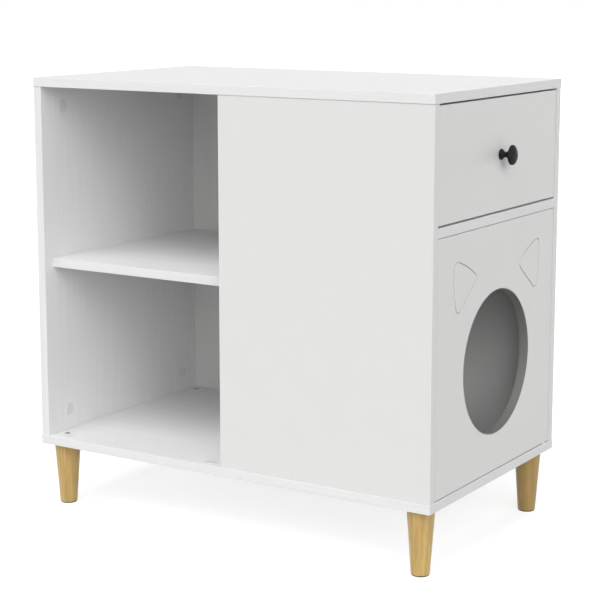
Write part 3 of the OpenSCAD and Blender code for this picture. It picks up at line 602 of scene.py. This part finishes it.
def make_channel(node, body, web_low, screws):
    """A slide's member, from its packed box: one bent strip with slots and holes in its web."""
    low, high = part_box(node)
    sheet, bend = sizes().slide_sheet, sizes().slide_bend
    way = 1 if web_low else -1
    web = low.y if web_low else high.y
    lip = high.y if web_low else low.y
    inner = web + way * sheet
    section = rounded([
        (lip, high.z, SLIDE_LIP_ROUND), (web, high.z, bend + sheet),
        (web, low.z, bend + sheet), (lip, low.z, SLIDE_LIP_ROUND),
        (lip, low.z + sheet, SLIDE_LIP_ROUND), (inner, low.z + sheet, bend),
        (inner, high.z - sheet, bend), (lip, high.z - sheet, SLIDE_LIP_ROUND),
    ], closed=True)
    mesh_data = bmesh.new()
    ends = [[mesh_data.verts.new((x, y, z)) for y, z in section] for x in (low.x, high.x)]
    holes = [
        round_ended_hole(low.x + share * (high.x - low.x), (low.z + high.z) / 2, length, width)
        for share, length, width in SLIDE_HOLES + (SLIDE_SCREW_HOLES if screws else ())
    ]
    rims = [
        [[mesh_data.verts.new((x, y, z)) for x, z in hole] for hole in holes] for y in (web, inner)
    ]
    for i in range(len(section)):
        j = (i + 1) % len(section)
        flat = [ends[0][i], ends[0][j], ends[1][j], ends[1][i]]
        if abs(section[i].y - section[j].y) < (high.z - low.z) / 2:
            mesh_data.faces.new(flat)
            continue
        loops = [flat, *rims[0 if abs(section[i].x - web) < sheet / 2 else 1]]
        corners = [corner for loop in loops for corner in loop]
        seen = [[corner.co.xz.to_3d() for corner in loop] for loop in loops]
        for triangle in tessellate_polygon(seen):
            mesh_data.faces.new([corners[k] for k in triangle])
    for outer_rim, inner_rim in zip(*rims):
        for i in range(len(outer_rim)):
            j = (i + 1) % len(outer_rim)
            mesh_data.faces.new([outer_rim[i], outer_rim[j], inner_rim[j], inner_rim[i]])
    for end in ends:
        mesh_data.faces.new(end)
    make_piece(f"{node}_bent_strip", mesh_data, rolled_zinc_steel(), body, [node])


# Operators, one for each piece or group of like pieces

class CATHOUSE_OT_case_boards(bpy.types.Operator):
    """Face the boards of the case, each with its streaks along its length"""

    bl_idname = "cathouse.case_boards"
    bl_label = "Case boards"

    def execute(self, context):
        edge = sizes().board_edge
        dress(["top_board", "bottom_board", "shelf"], melamine_board("x"), edge)
        dress(["left_end_panel", "partition_panel"], melamine_board("z"), edge)
        dress(["divider_board"], melamine_board("y"), edge)
        dress(["near_side_panel", "far_side_panel"], foil_front(), edge)
        dress(["shelf_back_panel"], lacquered_hardboard(), THIN_EDGE)
        return {"FINISHED"}


class CATHOUSE_OT_cat_door(bpy.types.Operator):
    """Finish the cat door, the band round its way in, its pins and bushes"""

    bl_idname = "cathouse.cat_door"
    bl_label = "Cat door"

    def execute(self, context):
        dress(["cat_door"], foil_front(), sizes().front_edge)
        dress(["way_in_band"], abs_edge_band(), BAND_EDGE)
        dress(["door_pin_top", "door_pin_bottom"], rolled_zinc_steel(), sizes().metal_edge)
        dress(["door_bush_top", "door_bush_bottom"], moulded_white_abs(), sizes().plastic_edge)
        return {"FINISHED"}


class CATHOUSE_OT_catch(bpy.types.Operator):
    """Finish the magnetic catch and its striker plate"""

    bl_idname = "cathouse.catch"
    bl_label = "Magnetic catch"

    def execute(self, context):
        dress(["catch_body"], moulded_white_abs(), CATCH_EDGE)
        dress(["catch_magnet"], ground_ferrite(), sizes().metal_edge)
        dress(["catch_striker"], rolled_zinc_steel(), sizes().metal_edge)
        make_screws("catch_screws", "cabinet", flat_head=False, point=SHORT_POINT)
        make_screws("striker_screw", "cat_door", flat_head=True, point=SHORT_POINT)
        return {"FINISHED"}


class CATHOUSE_OT_drawer(bpy.types.Operator):
    """Finish the drawer's front and box, and the screws that hold them"""

    bl_idname = "cathouse.drawer"
    bl_label = "Drawer"

    def execute(self, context):
        dress(["drawer_front"], foil_front(), sizes().front_edge)
        dress(["drawer_side_near", "drawer_side_far"], melamine_board("x"), sizes().board_edge)
        dress(["drawer_inner_front", "drawer_back"], melamine_board("y"), sizes().board_edge)
        dress(["drawer_bottom"], lacquered_hardboard(), THIN_EDGE)
        make_screws("drawer_box_screws", "drawer", flat_head=True, point=LONG_POINT)
        make_screws("drawer_front_screws", "drawer", flat_head=True, point=LONG_POINT)
        make_screws("knob_screw", "drawer", flat_head=False, point=BLUNT_POINT)
        return {"FINISHED"}


class CATHOUSE_OT_knob(bpy.types.Operator):
    """Turn the knob: a flat foot, a waist and a broad low crown"""

    bl_idname = "cathouse.knob"
    bl_label = "Knob"

    def execute(self, context):
        low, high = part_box("knob")
        reach, head = high.x - low.x, (high.y - low.y) / 2
        base, neck = sizes().knob_base_d / 2, sizes().knob_neck_d / 2
        base_h, waist_h, cone_h, rim = (share * reach for share in KNOB_SHARES)
        quarter = math.radians(90)
        turns = [quarter * i / KNOB_STEPS for i in range(1, KNOB_STEPS + 1)]
        outline = rounded([(0, 0, 0), (base, 0, KNOB_BASE_ROUND), (base, base_h, 0)])
        for t in turns:
            across = base - (base - neck) * math.sin(t)
            outline.append(Vector((across, base_h + (waist_h - base_h) * t / quarter)))
        for t in turns:
            across = neck + (head - neck) * (1 - math.cos(t))
            up = (1 - KNOB_CONE_SHARE) * math.sin(t) + KNOB_CONE_SHARE * (1 - math.cos(t))
            outline.append(Vector((across, waist_h + (cone_h - waist_h) * up)))
        outline.append(Vector((head, rim)))
        for t in turns[:-1]:
            outline.append(Vector((head * math.cos(t), rim + (reach - rim) * math.sin(t))))
        outline.append(Vector((0, reach)))
        foot = Matrix.Translation((low.x, 0, (low.z + high.z) / 2))
        place = foot @ Matrix.Rotation(quarter, 4, "Y")
        mesh_data = bmesh.new()
        turn_shape(mesh_data, outline, place, TURNED_FACES)
        make_piece("turned_knob", mesh_data, matt_black_paint(), "drawer", ["knob"])
        return {"FINISHED"}


class CATHOUSE_OT_legs(bpy.types.Operator):
    """Turn the four tapered legs, with an eased foot and the bore of the bolt"""

    bl_idname = "cathouse.legs"
    bl_label = "Legs"

    def execute(self, context):
        foot, bore = sizes().leg_foot_d / 2, sizes().leg_bore_d / 2
        for name, painted_shade in LEG_PAINTED_SHADES:
            low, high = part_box(name)
            top, bore_z = (high.x - low.x) / 2, high.z - sizes().leg_bore_l
            outline = rounded([
                (0, low.z, 0), (foot, low.z, sizes().leg_foot_round), (top, high.z, LEG_TOP_ROUND),
                (bore, high.z, 0), (bore, bore_z, 0), (0, bore_z, 0),
            ], steps=6)
            middle = (low + high) / 2
            mesh_data = bmesh.new()
            place = Matrix.Translation((middle.x, middle.y, 0))
            turn_shape(mesh_data, outline, place, TURNED_FACES)
            # The wood carries this leg's painted shade
            wood = lacquered_wood(name, painted_shade)
            make_piece(f"turned_{name}", mesh_data, wood, "cabinet", [name])
        return {"FINISHED"}


class CATHOUSE_OT_foot_pads(bpy.types.Operator):
    """Cut the four felt pads under the legs, with a soft pressed rim"""

    bl_idname = "cathouse.foot_pads"
    bl_label = "Foot pads"

    def execute(self, context):
        mesh_data = bmesh.new()
        for corners in solids("foot_pads"):
            xs, ys, zs = zip(*corners)
            radius, low, high = (max(xs) - min(xs)) / 2, min(zs), max(zs)
            middle = ((max(xs) + min(xs)) / 2, (max(ys) + min(ys)) / 2, 0)
            outline = rounded([
                (0, low, 0), (radius - PAD_BULGE, low, PAD_ROUNDS[0]),
                (radius, (low + high) / 2, PAD_ROUNDS[1]),
                (radius - PAD_BULGE, high, PAD_ROUNDS[2]), (0, high, 0)])
            turn_shape(mesh_data, outline, Matrix.Translation(middle), PAD_FACES)
        make_piece("felt_pads", mesh_data, pressed_felt(), "cabinet", ["foot_pads"])
        return {"FINISHED"}


class CATHOUSE_OT_slides(bpy.types.Operator):
    """Bend the six members of the drawer slides, and drive their screws"""

    bl_idname = "cathouse.slides"
    bl_label = "Drawer slides"

    def execute(self, context):
        for side, near in (("near", True), ("far", False)):
            make_channel(f"slide_outer_{side}", "cabinet", web_low=near, screws=True)
            make_channel(f"slide_middle_{side}", f"slide_middle_{side}", web_low=near, screws=False)
            make_channel(f"slide_inner_{side}", "drawer", web_low=not near, screws=True)
        make_screws("slide_screws_case", "cabinet", flat_head=False, point=SHORT_POINT)
        make_screws("slide_screws_drawer", "drawer", flat_head=False, point=SHORT_POINT)
        return {"FINISHED"}


class CATHOUSE_OT_fixings(bpy.types.Operator):
    """Finish the cams, bolts, dowels, inserts, caps and plugs of the case"""

    bl_idname = "cathouse.fixings"
    bl_label = "Case fixings"

    def execute(self, context):
        edge = sizes().metal_edge
        dress(["cam_locks", "cam_bolts", "leg_bolts", "leg_inserts"], bright_zinc_plate(), edge)
        dress(["dowels"], bare_beech(), edge)
        dress(["cam_covers", "board_plugs"], moulded_white_abs(), sizes().plastic_edge)
        return {"FINISHED"}


class CATHOUSE_OT_stage(bpy.types.Operator):
    """Lay the pale floor, set the soft studio light and place the camera"""

    bl_idname = "cathouse.stage"
    bl_label = "Floor, light and camera"

    def execute(self, context):
        scene = context.scene
        scene.view_settings.view_transform = "Standard"

        # Plain floor: its own colour keeps the shadow, and what the camera sees is lifted to white
        material, tree, shader, _ = start_finish("plain_floor", colours().floor, 0.9)
        seen = seen_rays(tree)
        lift = add(tree, "ShaderNodeMath", {0: seen, 1: FLOOR_LIFT}, operation="MULTIPLY")
        shader.inputs["Emission Color"].default_value = WHITE
        tree.links.new(lift.outputs[0], shader.inputs["Emission Strength"])
        mesh_data = bmesh.new()
        bmesh.ops.create_grid(
            mesh_data, x_segments=FLOOR_CELLS, y_segments=FLOOR_CELLS, size=FLOOR_HALF)
        mesh = bpy.data.meshes.new("floor")
        mesh_data.to_mesh(mesh)
        mesh_data.free()
        mesh.materials.append(material)
        floor = bpy.data.objects.new("floor", mesh)
        floor.location.z = -FLOOR_DROP
        scene.collection.objects.link(floor)

        # World: even light from all round, and white where it is seen
        world = bpy.data.worlds.new("studio")
        world.use_nodes = True
        tree = world.node_tree
        tree.nodes.clear()
        seen = seen_rays(tree)
        light = add(tree, "ShaderNodeBackground", {"Color": WHITE, "Strength": WORLD_LIGHT})
        white = add(tree, "ShaderNodeBackground", {"Color": WHITE, "Strength": 1.0})
        mixed = add(tree, "ShaderNodeMixShader", {
            0: seen, 1: light.outputs[0], 2: white.outputs[0]})
        add(tree, "ShaderNodeOutputWorld", {"Surface": mixed.outputs[0]})
        scene.world = world

        for name, energy, spread_deg, towards in LAMPS:
            lamp = bpy.data.lights.new(name, "SUN")
            lamp.energy = energy
            lamp.angle = math.radians(spread_deg)
            holder = bpy.data.objects.new(name, lamp)
            holder.rotation_mode = "QUATERNION"
            holder.rotation_quaternion = Vector(towards).to_track_quat("Z", "Y")
            scene.collection.objects.link(holder)

        data = bpy.data.cameras.new("camera")
        data.sensor_width = CAMERA_SENSOR
        data.lens = CAMERA_LENS
        data.shift_y = CAMERA_SHIFT
        camera = bpy.data.objects.new("camera", data)
        camera.location = CAMERA_PLACE
        camera.rotation_euler = (math.radians(90) - CAMERA_DOWN, 0.0, CAMERA_LEFT)
        scene.collection.objects.link(camera)
        scene.camera = camera
        return {"FINISHED"}


OPERATORS = (
    CATHOUSE_OT_case_boards, CATHOUSE_OT_cat_door, CATHOUSE_OT_catch, CATHOUSE_OT_drawer,
    CATHOUSE_OT_knob, CATHOUSE_OT_legs, CATHOUSE_OT_foot_pads, CATHOUSE_OT_slides,
    CATHOUSE_OT_fixings, CATHOUSE_OT_stage,
)


class CATHOUSE_PT_pieces(bpy.types.Panel):
    """Lists the pieces of the cat house, their sizes and their colours"""

    bl_idname = "CATHOUSE_PT_pieces"
    bl_label = "Cat house"
    bl_space_type = "VIEW_3D"
    bl_region_type = "UI"
    bl_category = "Cat house"

    def draw(self, context):
        for operator in OPERATORS:
            self.layout.operator(operator.bl_idname)
        for group in (sizes(), colours()):
            column = self.layout.column(align=True)
            for name in group.__annotations__:
                column.prop(group, name)


CLASSES = (CatHouseSizes, CatHouseColours, *OPERATORS, CATHOUSE_PT_pieces)


def register():
    for item in CLASSES:
        bpy.utils.register_class(item)
    bpy.types.Scene.cat_house_sizes = PointerProperty(type=CatHouseSizes)
    bpy.types.Scene.cat_house_colours = PointerProperty(type=CatHouseColours)


def unregister():
    del bpy.types.Scene.cat_house_colours
    del bpy.types.Scene.cat_house_sizes
    for item in reversed(CLASSES):
        bpy.utils.unregister_class(item)


def main():
    register()
    bpy.ops.cathouse.case_boards()
    bpy.ops.cathouse.cat_door()
    bpy.ops.cathouse.catch()
    bpy.ops.cathouse.drawer()
    bpy.ops.cathouse.knob()
    bpy.ops.cathouse.legs()
    bpy.ops.cathouse.foot_pads()
    bpy.ops.cathouse.slides()
    bpy.ops.cathouse.fixings()
    bpy.ops.cathouse.stage()


if __name__ == "__main__":
    main()
